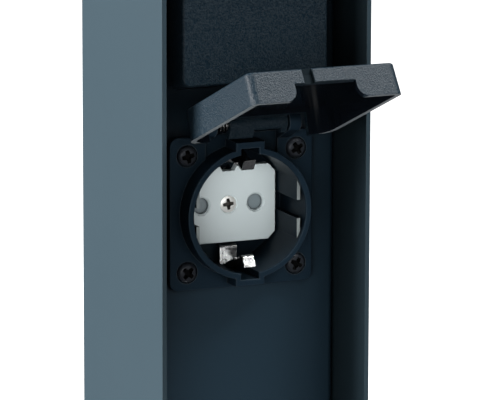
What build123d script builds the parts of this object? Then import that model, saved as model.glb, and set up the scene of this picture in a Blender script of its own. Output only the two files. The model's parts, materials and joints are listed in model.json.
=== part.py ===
from build123d import *
from math import cos, sin, radians, sqrt, pi
import os

# Outdoor socket post: a sheet-metal column with a recessed panel and two earthed
# 16 A panel sockets under hinged lids. The lower lid stands open, the upper is closed.
# Frame: origin at the centre of the foot's underside, front towards -Y, +Z up.

os.makedirs("parts", exist_ok=True)

# Column and panel
total_height = 300.0
column_width = 72.0
column_depth = 69.0
column_wall = 1.5
column_corner = 2.0
recess_depth = 23.2
panel_wall = 1.5
panel_bend = 2.0
panel_return = 14.0
panel_side_gap = 0.2
panel_end_gap = 0.3

# Foot, cap and what fastens them
foot_plate = 3.0
foot_gap = 0.3
foot_tab_height = 22.0
foot_tab_width = 20.0
foot_tab_behind_panel = 16.0
foot_screw_height = 12.0
anchor_spacing_x = 50.0
anchor_spacing_y = 52.0
anchor_hole_radius = 3.0
inlet_radius = 9.0
inlet_behind_panel = 24.0
grommet_gap = 0.05
grommet_wall = 2.1
grommet_lip = 2.4
grommet_height = 2.5
grommet_bottom = 0.5
membrane = 1.0
cap_plate = 2.0
cap_skirt = 10.0
cap_skirt_wall = 2.0
cap_screw_spacing = 36.0
panel_screw_inset = 28.0
m4_radius = 2.0
m4_clearance = 0.2
m4_head_radius = 3.25
m4_head_height = 2.0
screw_tip = 1.0
nut_across_flats = 7.0
nut_height = 3.2

# Sockets on the panel
lower_socket_height = 150.0
socket_pitch = 74.0
flange_size = 50.0
flange_corner = 3.0
flange_thickness = 2.4
gasket_thickness = 0.6
fixing_spacing = 38.0
head_recess_radius = 3.65
head_recess_depth = 0.7
collar_outer_radius = 21.5
well_radius = 19.5
well_depth = 17.5
collar_height = 7.2
floor_thickness = 2.0
body_gap = 0.6
lug_width = 10.0
lug_proud = 2.0
lug_notch_width = 6.2
lug_notch_reach = 21.3
guide_wall_place = 17.0
guide_wall = 1.1
guide_wall_setback = 1.6
guide_slot = 6.0

# Insert, shutter and contacts
insert_width = 33.0
insert_height = 25.0
insert_corner = 2.5
insert_thickness = 3.0
insert_front_wall = 1.4
insert_fit = 0.15
pin_spacing = 19.0
pin_hole_radius = 2.65
pin_countersink = 0.6
insert_notch_half = 2.9
insert_notch_slant = 0.8
insert_notch_depth = 1.5
insert_edge_round = 0.35
insert_screw_radius = 1.5
insert_screw_head_radius = 2.9
shutter_thickness = 1.2
shutter_tongue = 7.0
shutter_travel = 5.6
shutter_bar = 2.2
shutter_cover = 2.9
shutter_lug_width = 3.0
shutter_lug_height = 1.6
shutter_lug_depth = 2.6
shutter_slot_top = 12.5
sliding_gap = 0.2
shutter_spring_radius = 0.9
shutter_spring_wire = 0.35
shutter_spring_turns = 4
rear_body_width = 31.0
rear_body_height = 25.4
rear_body_slot_wall = 1.0
rear_body_depth = 19.0
rear_body_corner = 2.0
rear_screw_hole = 8.0
rear_slot_depth = 1.2
sleeve_start = 1.0
sleeve_solid = 3.0
earth_saddle_length = 5.0
earth_saddle_gap = 0.3
contact_outer_radius = 3.0
contact_bore_radius = 2.35
contact_length = 11.0
contact_slit = 0.8
terminal_size = 7.0
terminal_length = 6.0
terminal_screw_radius = 1.5
earth_strip = 0.6
earth_strip_width = 6.0
earth_tip_width = 4.0
earth_narrow_inward = -1.0
earth_wall_leg = 20.6
earth_root = 13.7
earth_bend = 0.75
earth_tip_inward = -6.7
earth_tip_place = 17.5
earth_crest_inward = -4.7
earth_crest_place = 14.0
earth_saddle = 7.0

# Hinge and lid
hinge_out = 6.5
hinge_above = 29.3
hinge_pin_radius = 1.0
pin_running_gap = 0.06
pin_seat_gap = 0.02
ear_inner = 12.6
ear_thickness = 4.0
ear_end_radius = 3.3
ear_root = 2.1
hinge_pocket_depth = 1.5
barrel_left = -7.7
barrel_right = 12.3
barrel_radius = 2.3
knuckle_web = 1.2
knuckle_web_proud = 0.2
stop_lobe_radius = 4.6
stop_lobe_width = 8.4
knuckle_lobe_radius = 3.7
knuckle_lobe_width = 1.9
lid_width = 50.4
lid_length = 58.5
lid_height = 10.5
lid_top_above_centre = 25.2
lid_rim_gap = 0.4
lid_wall = 1.8
lid_roof = 2.0
lid_corner = 2.6
lid_hinge_corner = 7.0
lid_front_slant = 2.4
lid_side_draft = 0.2
lid_edge_round = 0.9
lid_open_angle = 112.0
grip_cut_top = 20.5
grip_cut_rim = 28.3
grip_cut_height = 5.9
grip_groove_width = 3.4
grip_groove_depth = 0.9
grip_stripe_left = -3.4
grip_stripe_right = 6.8
grip_stripe_proud = 0.4
grip_stripe_short = 0.6
hinge_wall_notch = 17.2
hinge_wall_left = 3.2
spring_coil_radius = 1.75
spring_wire = 0.6
spring_turns = 2.75
spring_pitch = 1.05
spring_from_ear = 1.05
spring_leg_angle = 42.86
spring_free_leg = 1.2
lobe_tip_radius = 1.3
hinge_pocket_bottom = 15.0
ear_foot = 0.6
ear_foot_inset = 0.2
flange_round = 0.5
rim_round = 0.4

# Terminal block and wires
block_width = 34.0
block_depth = 14.0
block_height = 22.0
block_base_height = 46.0
block_pitch = 10.0
carrier_height = 76.0
carrier_width = 42.0
wire_radius = 1.3
wire_hole_gap = 0.15
block_screw_inset = 3.5
clamp_size = 7.0
clamp_length = 15.0
clamp_screw_offset = 4.0
block_screw_head = 2.4
clamp_screw_gap = 0.4
clamp_screw_sunk = 1.0
earth_stud_drop = 22.0
earth_stud_x = 26.0
earth_stud_length = 12.0
earth_stud_flange = 1.0
lug_tail = 9.0
lug_tail_width = 3.0
lug_thickness = 0.9
wire_into_clamp = 0.5

# Places worked out from the values above
front_edge_y = -column_depth / 2
back_inner_y = column_depth / 2 - column_wall
panel_face_y = front_edge_y + recess_depth
panel_back_y = panel_face_y + panel_wall
flange_front_y = panel_face_y - gasket_thickness - flange_thickness
inner_half_width = column_width / 2 - column_wall
panel_half_width = inner_half_width - panel_side_gap
column_height = total_height - cap_plate
panel_bottom = foot_plate + panel_end_gap
panel_top = column_height - panel_end_gap
floor_front = well_depth - collar_height
floor_back = floor_front + insert_thickness + floor_thickness
rear_back = floor_back + rear_body_depth
rear_slot_top = rear_body_height / 2 - rear_body_slot_wall
socket_heights = {"lower": lower_socket_height, "upper": lower_socket_height + socket_pitch}
lid_angles = {"lower": lid_open_angle, "upper": 0.0}
pin_places = [(-pin_spacing / 2, 0), (pin_spacing / 2, 0)]
terminal_front = floor_back + sleeve_start + contact_length
terminal_back = terminal_front + terminal_length
terminal_y = flange_front_y + terminal_front + terminal_length / 2


def save(piece, name):
    """Label a finished piece and write it as one STEP file."""
    piece.part.label = name
    export_step(piece.part, f"parts/{name}.step")


def face_plane(centre_height, inward=0.0):
    """Plane parallel to a flange's front, X across, Y up, normal out to the front."""
    return Plane(
        origin=(0, flange_front_y + inward, centre_height), x_dir=(1, 0, 0), z_dir=(0, -1, 0)
    )


def hinge_plane(centre_height, angle):
    """Plane on a lid's hinge axis, turned with the lid by its opening angle."""
    return Plane(
        origin=(0, flange_front_y - hinge_out, centre_height + hinge_above),
        x_dir=(1, 0, 0),
        z_dir=(0, -cos(radians(angle)), sin(radians(angle))),
    )


# Column: a folded channel, open at the front
side_hole = m4_radius + m4_clearance
foot_tab_y = panel_back_y + foot_tab_behind_panel + foot_tab_width / 2
panel_screw_y = panel_face_y + panel_return * 0.6
panel_screw_heights = [panel_screw_inset, total_height - panel_screw_inset]
cap_screw_height = column_height - cap_skirt / 2

with BuildPart() as column:
    with BuildSketch() as channel:
        Rectangle(column_width, column_depth)
        fillet(channel.vertices().group_by(Axis.Y)[-1], column_corner)
        with Locations((0, -column_wall)):
            Rectangle(column_width - 2 * column_wall, column_depth, mode=Mode.SUBTRACT)
        inner_corners = channel.vertices().filter_by(
            lambda v: v.Y > 0 and abs(v.Y - back_inner_y) < 0.01 and abs(v.X) < inner_half_width + 0.01
        )
        fillet(inner_corners, column_corner - column_wall)
    extrude(amount=column_height)
    with BuildSketch(Plane.YZ) as side_holes:
        with Locations((foot_tab_y, foot_screw_height), *[(panel_screw_y, z) for z in panel_screw_heights]):
            Circle(side_hole)
    extrude(amount=column_width, both=True, mode=Mode.SUBTRACT)
    with BuildSketch(Plane.XZ.offset(-column_depth / 2 + 2 * column_wall)) as back_holes:
        with Locations((0, cap_screw_height)):
            with GridLocations(cap_screw_spacing, 0, 2, 1):
                Circle(side_hole)
    extrude(amount=-3 * column_wall, mode=Mode.SUBTRACT)
save(column, "column_profile")

# Panel: a folded tray that closes the column behind the recess
socket_centres = [(0, height) for height in socket_heights.values()]

with BuildPart() as panel:
    with BuildSketch(Plane.XY.offset(panel_bottom)) as tray:
        with Locations((0, panel_face_y)):
            Rectangle(2 * panel_half_width, panel_return, align=(Align.CENTER, Align.MIN))
        fillet(tray.vertices().group_by(Axis.Y)[0], panel_bend)
        with Locations((0, panel_back_y)):
            Rectangle(
                2 * (panel_half_width - panel_wall), panel_return,
                align=(Align.CENTER, Align.MIN), mode=Mode.SUBTRACT,
            )
    extrude(amount=panel_top - panel_bottom)
    with BuildSketch(Plane.XZ.offset(-panel_face_y + panel_wall)) as cutouts:
        with Locations(*socket_centres):
            Circle(collar_outer_radius + body_gap)
            Rectangle(lug_width + 2 * body_gap, 2 * (collar_outer_radius + lug_proud + body_gap))
            with GridLocations(fixing_spacing, fixing_spacing, 2, 2):
                Circle(side_hole)
    extrude(amount=-3 * panel_wall, mode=Mode.SUBTRACT)
    with BuildSketch(Plane.YZ) as tray_holes:
        with Locations(*[(panel_screw_y, z) for z in panel_screw_heights]):
            Circle(side_hole)
    extrude(amount=column_width, both=True, mode=Mode.SUBTRACT)
save(panel, "socket_panel")

# Foot: a plate with side tabs, and a rear carrier for the terminal block
foot_half_width = inner_half_width - foot_gap
foot_back_y = back_inner_y - foot_gap
carrier_face_y = foot_back_y - foot_plate
block_screw_height = block_base_height + block_height / 2
inlet_y = panel_back_y + inlet_behind_panel

with BuildPart() as foot:
    with BuildSketch() as plate:
        with Locations((0, front_edge_y)):
            Rectangle(2 * foot_half_width, foot_back_y - front_edge_y, align=(Align.CENTER, Align.MIN))
        fillet(plate.vertices(), 1.0)
    extrude(amount=foot_plate)
    for side in (-1, 1):
        with BuildSketch(Plane.YZ.offset(side * (foot_half_width - foot_plate / 2))) as tab:
            with Locations((foot_tab_y, foot_plate / 2)):
                Rectangle(
                    foot_tab_width, foot_tab_height - foot_plate / 2, align=(Align.CENTER, Align.MIN)
                )
            fillet(tab.vertices().group_by(Axis.Z)[-1], 4.0)
            with Locations((foot_tab_y, foot_screw_height)):
                Circle(m4_radius + pin_seat_gap, mode=Mode.SUBTRACT)
        extrude(amount=foot_plate / 2, both=True)
    with BuildSketch(Plane.XZ.offset(-carrier_face_y)) as carrier:
        with Locations((0, foot_plate / 2)):
            Rectangle(carrier_width, carrier_height - foot_plate / 2, align=(Align.CENTER, Align.MIN))
        fillet(carrier.vertices().group_by(Axis.Y)[-1], 4.0)
        with Locations((0, block_screw_height)):
            with GridLocations(block_width - 2 * block_screw_inset, 0, 2, 1):
                Circle(terminal_screw_radius + pin_seat_gap, mode=Mode.SUBTRACT)
    extrude(amount=-foot_plate)
    with BuildSketch() as plate_holes:
        with GridLocations(anchor_spacing_x, anchor_spacing_y, 2, 2):
            Circle(anchor_hole_radius)
        with Locations((0, inlet_y)):
            Circle(inlet_radius)
    extrude(amount=foot_plate, mode=Mode.SUBTRACT)
    tab_roots = foot.edges().filter_by(Axis.Y).filter_by(
        lambda e: abs(e.center().Z - foot_plate) < 0.01
        and abs(abs(e.center().X) - (foot_half_width - foot_plate)) < 0.01
    )
    fillet(tab_roots, 2.0)
save(foot, "mounting_foot")

# Cable inlet: a rubber grommet with a closed membrane in the foot
grommet_outer = inlet_radius - grommet_gap
grommet_inner = grommet_outer - grommet_wall
membrane_bottom = (foot_plate - membrane) / 2
collar_base = foot_plate + 2 * grommet_gap
with BuildPart() as grommet:
    with BuildSketch(Plane.YZ) as grommet_section:
        with BuildLine():
            Polyline(
                (inlet_y, membrane_bottom),
                (inlet_y + grommet_inner, membrane_bottom),
                (inlet_y + grommet_inner, grommet_bottom),
                (inlet_y + grommet_outer, grommet_bottom),
                (inlet_y + grommet_outer, collar_base),
                (inlet_y + grommet_outer + grommet_lip, collar_base),
                (inlet_y + grommet_outer + grommet_lip - membrane, collar_base + grommet_height),
                (inlet_y + grommet_inner, collar_base + grommet_height),
                (inlet_y + grommet_inner - grommet_wall, membrane_bottom + membrane),
                (inlet_y, membrane_bottom + membrane),
                close=True,
            )
        make_face()
    revolve(axis=Axis((0, inlet_y, 0), (0, 0, 1)))
save(grommet, "inlet_grommet")

# Cap: a lid plate with a skirt that drops into the rear chamber
skirt_half_width = panel_half_width - panel_wall - foot_gap
skirt_front_y = panel_back_y + foot_gap
skirt_depth = back_inner_y - foot_gap - skirt_front_y

with BuildPart() as cap:
    with BuildSketch(Plane.XY.offset(column_height)) as cap_outline:
        Rectangle(column_width, column_depth)
        fillet(cap_outline.vertices().group_by(Axis.Y)[-1], column_corner)
        fillet(cap_outline.vertices().group_by(Axis.Y)[0], 0.8)
    extrude(amount=cap_plate)
    fillet(cap.faces().sort_by(Axis.Z)[-1].edges(), 0.6)
    with BuildSketch(Plane.XY.offset(column_height)) as skirt:
        with Locations((0, skirt_front_y)):
            Rectangle(2 * skirt_half_width, skirt_depth, align=(Align.CENTER, Align.MIN))
        fillet(skirt.vertices(), 1.0)
        offset(amount=-cap_skirt_wall, mode=Mode.SUBTRACT)
    extrude(amount=-cap_skirt)
    with BuildSketch(Plane.XZ.offset(-back_inner_y - 1)) as cap_holes:
        with Locations((0, cap_screw_height)):
            with GridLocations(cap_screw_spacing, 0, 2, 1):
                Circle(m4_radius + pin_seat_gap)
    extrude(amount=cap_skirt_wall + 2, mode=Mode.SUBTRACT)
save(cap, "top_cap")


def pan_screws(name, places, shank, head_plane=None):
    """Pan-head M4 screws: each place is a plane under the head, normal out of the head."""
    with BuildPart() as screws:
        for place in places:
            with BuildSketch(place):
                Circle(m4_head_radius)
            extrude(amount=m4_head_height, taper=12)
            with BuildSketch(place):
                Circle(m4_radius)
            extrude(amount=-shank)
    save(screws, name)


def side_places(height, y):
    """Planes on the column's two outer sides at one height."""
    return [
        Plane(origin=(side * column_width / 2, y, height), x_dir=(0, 1, 0), z_dir=(side, 0, 0))
        for side in (-1, 1)
    ]


side_shank = column_wall + panel_side_gap + panel_wall + nut_height + screw_tip
panel_screw_places = [place for z in panel_screw_heights for place in side_places(z, panel_screw_y)]
pan_screws("panel_screws", panel_screw_places, side_shank)
foot_screw_places = side_places(foot_screw_height, foot_tab_y)
pan_screws("foot_screws", foot_screw_places, column_wall + foot_gap + foot_plate + screw_tip)
cap_screw_places = [
    Plane(
        origin=(side * cap_screw_spacing / 2, column_depth / 2, cap_screw_height),
        x_dir=(1, 0, 0), z_dir=(0, 1, 0),
    )
    for side in (-1, 1)
]
pan_screws("cap_screws", cap_screw_places, column_wall + foot_gap + cap_skirt_wall + screw_tip)

# Pressed nuts inside the panel's returns
with BuildPart() as panel_nuts:
    for z in panel_screw_heights:
        for side in (-1, 1):
            inner_x = side * (panel_half_width - panel_wall)
            nut_seat = Plane(origin=(inner_x, panel_screw_y, z), x_dir=(0, 1, 0), z_dir=(-side, 0, 0))
            with BuildSketch(nut_seat):
                RegularPolygon(nut_across_flats / 2, 6, major_radius=False)
                Circle(m4_radius + pin_seat_gap, mode=Mode.SUBTRACT)
            extrude(amount=nut_height)
save(panel_nuts, "panel_nuts")

# Earth stud welded to the back wall, with its nut
stud_height = block_base_height - earth_stud_drop
stud_plane = Plane(origin=(earth_stud_x, back_inner_y, stud_height), x_dir=(1, 0, 0), z_dir=(0, -1, 0))
lug_offset = 4.0
with BuildPart() as earth_stud:
    with BuildSketch(stud_plane):
        Circle(m4_radius + earth_stud_flange)
    extrude(amount=earth_stud_flange)
    with BuildSketch(stud_plane):
        Circle(m4_radius)
    extrude(amount=earth_stud_length)
save(earth_stud, "earth_stud")

with BuildPart() as earth_nut:
    with BuildSketch(stud_plane.offset(lug_offset + lug_thickness + 0.1)):
        RegularPolygon(nut_across_flats / 2, 6, major_radius=False)
        Circle(m4_radius + pin_seat_gap, mode=Mode.SUBTRACT)
    extrude(amount=nut_height)
save(earth_nut, "earth_nut")

# Terminal block: three poles side by side on the carrier
block_face_y = carrier_face_y - block_depth
pole_places = [(-block_pitch, 0), (0, 0), (block_pitch, 0)]
block_wire_y = carrier_face_y - block_depth / 2
clamp_base_height = block_base_height + (block_height - clamp_length) / 2

with BuildPart() as block:
    with BuildSketch(Plane.XY.offset(block_base_height)) as block_outline:
        with Locations((0, block_wire_y)):
            Rectangle(block_width, block_depth)
        fillet(block_outline.vertices(), 1.0)
    extrude(amount=block_height)
    with BuildSketch(Plane.XY.offset(clamp_base_height)):
        with Locations((0, block_wire_y)):
            with Locations(*pole_places):
                Rectangle(clamp_size + 2 * sliding_gap, clamp_size + 2 * sliding_gap)
    extrude(amount=clamp_length + 2 * sliding_gap, mode=Mode.SUBTRACT)
    with BuildSketch(Plane.XY.offset(block_base_height)):
        with Locations((0, block_wire_y)):
            with Locations(*pole_places):
                Circle(wire_radius + wire_hole_gap)
    extrude(amount=block_height, mode=Mode.SUBTRACT)
    with BuildSketch(Plane.XZ.offset(-block_face_y)) as block_front:
        with Locations((0, block_base_height + block_height / 2)):
            with GridLocations(block_pitch, 2 * clamp_screw_offset, 3, 2):
                Circle(terminal_screw_radius + clamp_screw_gap)
    extrude(amount=-block_depth / 2, mode=Mode.SUBTRACT)
save(block, "terminal_block")

with BuildPart() as clamps:
    for x, _ in pole_places:
        with BuildSketch(Plane.XY.offset(clamp_base_height + sliding_gap)):
            with Locations((x, block_wire_y)):
                Rectangle(clamp_size, clamp_size)
                Circle(wire_radius + wire_hole_gap, mode=Mode.SUBTRACT)
        extrude(amount=clamp_length)
save(clamps, "terminal_clamps")

with BuildPart() as clamp_screws:
    for x, _ in pole_places:
        for dz in (-clamp_screw_offset, clamp_screw_offset):
            screw_z = block_base_height + block_height / 2 + dz
            with BuildSketch(Plane.XZ.offset(-block_face_y - clamp_screw_sunk)):
                with Locations((x, screw_z)):
                    Circle(terminal_screw_radius)
            extrude(amount=clamp_screw_sunk + sliding_gap - (block_depth - clamp_size) / 2)
save(clamp_screws, "terminal_clamp_screws")

with BuildPart() as block_screws:
    for side in (-1, 1):
        place = Plane(
            origin=(side * (block_width / 2 - block_screw_inset), block_face_y, block_screw_height),
            x_dir=(1, 0, 0), z_dir=(0, -1, 0),
        )
        with BuildSketch(place):
            Circle(block_screw_head)
        extrude(amount=terminal_screw_radius, taper=10)
save(block_screws, "block_screws")


def point_on(plane, x, y, z=0.0):
    """World point of local coordinates on a plane."""
    return plane.origin + plane.x_dir * x + plane.y_dir * y + plane.z_dir * z


def across(plane, x):
    """Plane square to X at a distance along it, keeping the given plane's up and out."""
    return Plane(origin=point_on(plane, x, 0), x_dir=plane.y_dir, z_dir=plane.x_dir)


def make_housing(prefix, height):
    """Moulded flange with collar, lugs, hinge ears and the plug well with its floor."""
    face = face_plane(height)
    rim = face.offset(collar_height)
    flange_back = face.offset(-flange_thickness)
    floor = face.offset(-floor_front - insert_thickness)
    with BuildPart() as housing:
        with BuildSketch(face):
            RectangleRounded(flange_size, flange_size, flange_corner)
        extrude(amount=-flange_thickness)
        fillet(housing.faces().sort_by(Axis.Y)[0].edges(), flange_round)
        with BuildSketch(face):
            with Locations((0, flange_size / 2)):
                pocket_height = flange_size / 2 - hinge_pocket_bottom
                Rectangle(2 * ear_inner, pocket_height, align=(Align.CENTER, Align.MAX))
        extrude(amount=-hinge_pocket_depth, mode=Mode.SUBTRACT)
        with BuildSketch(face):
            with GridLocations(fixing_spacing, fixing_spacing, 2, 2):
                Circle(head_recess_radius)
        extrude(amount=-head_recess_depth, mode=Mode.SUBTRACT)
        with BuildSketch(face):
            with GridLocations(fixing_spacing, fixing_spacing, 2, 2):
                Circle(side_hole)
        extrude(amount=-flange_thickness, mode=Mode.SUBTRACT)
        with BuildSketch(rim) as tube:
            Circle(collar_outer_radius)
            Rectangle(lug_width, 2 * (collar_outer_radius + lug_proud))
        extrude(amount=-collar_height - floor_back)
        with BuildSketch(rim) as well:
            Circle(well_radius)
            Rectangle(lug_notch_width, 2 * lug_notch_reach)
        extrude(amount=-well_depth - insert_thickness, mode=Mode.SUBTRACT)
        rim_edges = housing.faces().sort_by(Axis.Y)[0].edges()
        fillet(rim_edges, rim_round)
        with BuildSketch(rim.offset(-guide_wall_setback)) as guides:
            with GridLocations(2 * guide_wall_place + guide_wall, 0, 2, 1):
                Rectangle(guide_wall, 2 * well_radius)
            Rectangle(2 * well_radius, guide_slot, mode=Mode.SUBTRACT)
            Circle(well_radius + 0.2, mode=Mode.INTERSECT)
        extrude(amount=guide_wall_setback - well_depth - insert_thickness)
        with BuildSketch(floor) as windows:
            with Locations(*pin_places):
                Circle(pin_hole_radius + sliding_gap)
            Circle(insert_screw_radius + sliding_gap)
            with Locations((0, shutter_cover - sliding_gap)):
                Rectangle(
                    shutter_lug_width + 2 * sliding_gap, shutter_slot_top - shutter_cover + sliding_gap,
                    align=(Align.CENTER, Align.MIN),
                )
            with GridLocations(0, 2 * earth_root, 1, 2):
                Rectangle(earth_strip_width + 2 * sliding_gap, earth_strip + 2 * sliding_gap)
        extrude(amount=-floor_thickness, mode=Mode.SUBTRACT)
        for side in (-1, 1):
            ear_centre = side * (ear_inner + ear_thickness / 2)
            with BuildSketch(across(hinge_plane(height, 0.0), ear_centre)) as ear:
                Circle(ear_end_radius)
                with Locations((flange_size / 2 - hinge_above - ear_root / 2 - ear_foot_inset, -hinge_out)):
                    Rectangle(ear_root, ear_foot)
                make_hull()
            extrude(amount=ear_thickness / 2, both=True)
            with BuildSketch(across(hinge_plane(height, 0.0), ear_centre)):
                Circle(hinge_pin_radius + pin_seat_gap)
            extrude(amount=ear_thickness, both=True, mode=Mode.SUBTRACT)
    save(housing, f"{prefix}_housing")


def make_gasket(prefix, height):
    """Flat seal between the flange and the panel."""
    with BuildPart() as gasket:
        with BuildSketch(face_plane(height, flange_thickness)):
            RectangleRounded(flange_size - 0.6, flange_size - 0.6, flange_corner)
            Circle(collar_outer_radius + sliding_gap, mode=Mode.SUBTRACT)
            Rectangle(
                lug_width + 2 * sliding_gap, 2 * (collar_outer_radius + lug_proud + sliding_gap),
                mode=Mode.SUBTRACT,
            )
            with GridLocations(fixing_spacing, fixing_spacing, 2, 2):
                Circle(side_hole, mode=Mode.SUBTRACT)
        extrude(amount=-gasket_thickness)
    save(gasket, f"{prefix}_flange_gasket")


def make_insert(prefix, height):
    """Light grey front of the contacts, with pin holes and a pocket for the shutter."""
    face = face_plane(height, floor_front)
    half_height = insert_height / 2
    notch_height = half_height - insert_notch_depth
    notch_floor = insert_notch_half - insert_notch_slant
    pocket_width = pin_spacing + shutter_tongue + 2 * sliding_gap
    pocket_height = 2 * shutter_cover + shutter_bar + shutter_travel + 2 * sliding_gap
    with BuildPart() as insert:
        with BuildSketch(face) as outline:
            Rectangle(insert_width, insert_height)
            chamfer(outline.vertices(), insert_corner)
            with BuildLine():
                Polyline(
                    (-insert_notch_half, half_height),
                    (-notch_floor, notch_height),
                    (notch_floor, notch_height),
                    (insert_notch_half, half_height),
                    close=True,
                )
            make_face(mode=Mode.SUBTRACT)
        extrude(amount=-insert_thickness)
        fillet(insert.faces().sort_by(Axis.Y)[0].edges(), insert_edge_round)
        with BuildSketch(face.offset(-insert_front_wall)):
            with Locations((0, -shutter_cover - sliding_gap)):
                Rectangle(pocket_width, pocket_height, align=(Align.CENTER, Align.MIN))
            Circle(shutter_cover - sliding_gap, mode=Mode.SUBTRACT)
        extrude(amount=insert_front_wall - insert_thickness, mode=Mode.SUBTRACT)
        with BuildSketch(face):
            with Locations(*pin_places):
                Circle(pin_hole_radius)
        extrude(amount=-insert_front_wall, mode=Mode.SUBTRACT)
        with BuildSketch(face):
            with Locations(*pin_places):
                Circle(pin_hole_radius + pin_countersink)
        extrude(amount=-pin_countersink, taper=45, mode=Mode.SUBTRACT)
        with BuildSketch(face):
            Circle(insert_screw_radius + sliding_gap)
        extrude(amount=-insert_thickness, mode=Mode.SUBTRACT)
        with BuildSketch(face):
            Circle(insert_screw_head_radius + sliding_gap)
        extrude(amount=-insert_screw_head_radius + insert_screw_radius, taper=45, mode=Mode.SUBTRACT)
    save(insert, f"{prefix}_insert")


def make_insert_screw(prefix, height):
    """Countersunk screw that holds the insert through the floor to the rear body."""
    head_drop = insert_screw_head_radius - insert_screw_radius
    with BuildPart() as screw:
        with BuildSketch(face_plane(height, floor_front + 0.15)):
            Circle(insert_screw_head_radius)
        extrude(amount=-head_drop + 0.05, taper=45)
        with BuildSketch(face_plane(height, floor_front + 0.5)):
            Circle(insert_screw_radius - 0.05)
        extrude(amount=-insert_thickness - floor_thickness - rear_screw_hole + 1.0)
    save(screw, f"{prefix}_insert_screw")


def make_shutter(prefix, height):
    """Sliding shutter: a bar with a tongue over each pin hole and a lug for its spring."""
    front = face_plane(height, floor_front + insert_front_wall + sliding_gap)
    with BuildPart() as shutter:
        with BuildSketch(front) as blades:
            with Locations((0, shutter_cover)):
                Rectangle(pin_spacing + shutter_tongue, shutter_bar, align=(Align.CENTER, Align.MIN))
            with Locations(*pin_places):
                Rectangle(shutter_tongue, 2 * shutter_cover)
            fillet(blades.vertices().group_by(Axis.Z)[0], 0.8)
        extrude(amount=-shutter_thickness)
        with BuildSketch(front.offset(-shutter_thickness)):
            with Locations((0, shutter_cover)):
                Rectangle(shutter_lug_width, shutter_lug_height, align=(Align.CENTER, Align.MIN))
        extrude(amount=-shutter_lug_depth)
    save(shutter, f"{prefix}_shutter")


def make_rear_body(prefix, height):
    """Black body behind the floor that holds the contact sleeves and the clamps."""
    front = face_plane(height, floor_back)
    with BuildPart() as body:
        with BuildSketch(front):
            RectangleRounded(rear_body_width, rear_body_height, rear_body_corner)
        extrude(amount=-rear_body_depth)
        with BuildSketch(front):
            with Locations(*pin_places):
                Circle(contact_outer_radius + sliding_gap)
        extrude(amount=-contact_length - sleeve_start - sliding_gap, mode=Mode.SUBTRACT)
        with BuildSketch(front.offset(-contact_length - sleeve_start + sliding_gap)):
            with Locations(*pin_places):
                Rectangle(terminal_size + 2 * sliding_gap, terminal_size + 2 * sliding_gap)
        extrude(amount=-rear_body_depth, mode=Mode.SUBTRACT)
        with BuildSketch(front):
            Circle(insert_screw_radius)
        extrude(amount=-rear_screw_hole, mode=Mode.SUBTRACT)
        with BuildSketch(front):
            with Locations((0, shutter_cover - sliding_gap)):
                Rectangle(
                    shutter_lug_width + 2 * sliding_gap, rear_slot_top - shutter_cover + sliding_gap,
                    align=(Align.CENTER, Align.MIN),
                )
        extrude(amount=-rear_slot_depth, mode=Mode.SUBTRACT)
        with BuildSketch(Plane.XY.offset(height)):
            with Locations((-pin_spacing / 2, terminal_y), (pin_spacing / 2, terminal_y)):
                Circle(wire_radius + wire_hole_gap)
        extrude(amount=rear_body_height, both=True, mode=Mode.SUBTRACT)
    save(body, f"{prefix}_rear_body")


def make_contacts(prefix, height):
    """Live and neutral contacts: a slit sleeve on a screw clamp, and the clamp screws."""
    with BuildPart() as contacts:
        with BuildSketch(face_plane(height, terminal_front)):
            with Locations(*pin_places):
                Rectangle(terminal_size, terminal_size)
        extrude(amount=-terminal_length)
        with BuildSketch(face_plane(height, floor_back + sleeve_start)):
            with Locations(*pin_places):
                Circle(contact_outer_radius)
                Circle(contact_bore_radius, mode=Mode.SUBTRACT)
        extrude(amount=-contact_length)
        with BuildSketch(face_plane(height, floor_back + sleeve_start)):
            with Locations(*pin_places):
                Rectangle(2 * contact_outer_radius + contact_slit, contact_slit)
        extrude(amount=-contact_length + sleeve_solid, mode=Mode.SUBTRACT)
        with BuildSketch(Plane.XY.offset(height)):
            with Locations((-pin_spacing / 2, terminal_y), (pin_spacing / 2, terminal_y)):
                Circle(wire_radius + wire_hole_gap)
        extrude(amount=terminal_size, both=True, mode=Mode.SUBTRACT)
        with BuildSketch(face_plane(height, terminal_back)):
            with Locations(*pin_places):
                Circle(terminal_screw_radius + pin_seat_gap)
        extrude(amount=terminal_length / 2, mode=Mode.SUBTRACT)
    save(contacts, f"{prefix}_contacts")
    with BuildPart() as screws:
        with BuildSketch(face_plane(height, terminal_back + 0.8)):
            with Locations(*pin_places):
                Circle(terminal_screw_radius)
        extrude(amount=terminal_length / 2 + 0.8 - wire_radius - 0.1)
    save(screws, f"{prefix}_contact_screws")


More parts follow.
